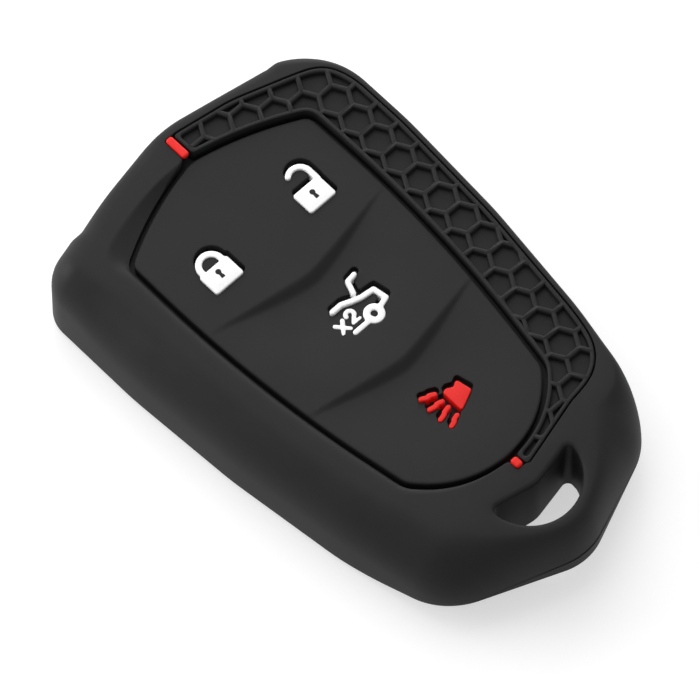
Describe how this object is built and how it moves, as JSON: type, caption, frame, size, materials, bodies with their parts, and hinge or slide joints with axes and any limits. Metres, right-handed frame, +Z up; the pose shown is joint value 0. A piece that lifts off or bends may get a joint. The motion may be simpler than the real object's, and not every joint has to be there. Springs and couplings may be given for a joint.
{
  "type": "key fob cover",
  "caption": "Soft silicone key fob cover: pillow-shaped shell with an open back, an inset button panel with raised pictograms, a honeycomb grip strip down one side and a key ring slot.",
  "frame": {"origin": "under the middle of the cover, on the plane its back rim lies on", "axes": "+X along the cover towards the key ring end, +Y across it towards the honeycomb side, +Z up through the buttons"},
  "size_m": [0.0792, 0.0494, 0.0145],
  "materials": {
    "black_silicone": "matte",
    "red_silicone": "satin",
    "white_silicone": "satin"
  },
  "bodies": {
    "cover": {"cover_body": "black_silicone", "button_panel": "black_silicone", "honeycomb_strip": "black_silicone", "upper_accent_bar": "red_silicone", "lower_accent_bar": "red_silicone"},
    "lock_button": {"lock_icon": "white_silicone", "lock_press_pad": "black_silicone"},
    "unlock_button": {"unlock_icon": "white_silicone", "unlock_press_pad": "black_silicone"},
    "trunk_button": {"trunk_icon": "white_silicone", "trunk_press_pad": "black_silicone"},
    "panic_button": {"panic_horn_icon": "red_silicone", "panic_sound_line_1": "red_silicone", "panic_sound_line_2": "red_silicone", "panic_sound_line_3": "red_silicone", "panic_sound_line_4": "red_silicone", "panic_press_pad": "black_silicone"}
  },
  "joints": [
    {"name": "lock_press", "type": "slide", "parent": "cover", "child": "lock_button", "axis": [0, 0, -1], "range_m": [0, 0.0007], "stiffness_N_per_m": 300},
    {"name": "unlock_press", "type": "slide", "parent": "cover", "child": "unlock_button", "axis": [0, 0, -1], "range_m": [0, 0.0007], "stiffness_N_per_m": 300},
    {"name": "trunk_press", "type": "slide", "parent": "cover", "child": "trunk_button", "axis": [0, 0, -1], "range_m": [0, 0.0007], "stiffness_N_per_m": 300},
    {"name": "panic_press", "type": "slide", "parent": "cover", "child": "panic_button", "axis": [0, 0, -1], "range_m": [0, 0.0007], "stiffness_N_per_m": 300}
  ]
}
